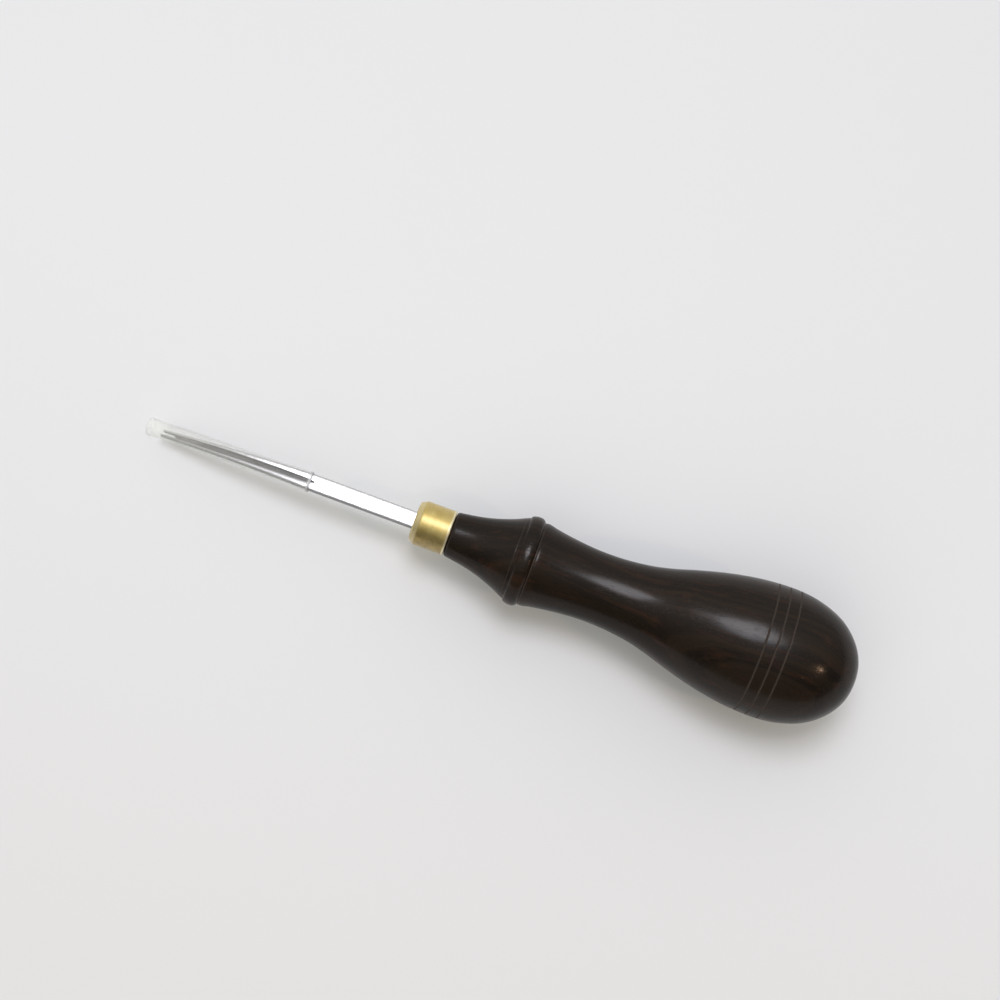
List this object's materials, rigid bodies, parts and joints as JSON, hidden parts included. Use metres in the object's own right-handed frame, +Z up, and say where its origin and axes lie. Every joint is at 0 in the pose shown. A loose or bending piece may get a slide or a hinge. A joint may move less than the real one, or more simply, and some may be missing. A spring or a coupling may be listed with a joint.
{
  "type": "edge beveler",
  "caption": "Leather edge beveler: turned dark wood handle, brass ferrule, steel blade curving to a grooved forked tip, clear guard tube drawn over the blade.",
  "frame": {"origin": "middle of the footprint's bounding box, on the surface the tool lies on", "axes": "+X towards the butt of the handle and -X towards the tip, +Z up; the blade's working face, with the channel, is up, and the tool lies on the handle's bulb and on the free end of the guard"},
  "size_m": [0.1684, 0.03, 0.0301],
  "materials": {
    "handle_wood": "very dark turned blackwood, oiled to a satin polish, with faint red-brown figure along the grain",
    "ferrule_brass": "satin, fine turning marks round it",
    "blade_steel": "polished working face, ground sides, dark unpolished channel",
    "epoxy": "set amber adhesive",
    "guard_clear": "clear soft tubing, faintly milky"
  },
  "bodies": {
    "guard": {"tip_guard": "guard_clear"},
    "beveler": {"handle": "handle_wood", "ferrule": "ferrule_brass", "blade": "blade_steel", "tang_epoxy": "epoxy"}
  },
  "joints": [
    {"name": "guard_draw", "type": "slide", "parent": "guard", "child": "beveler", "axis": [0.9818, 0, 0.1899], "range_m": [0, 0.0365]}
  ]
}
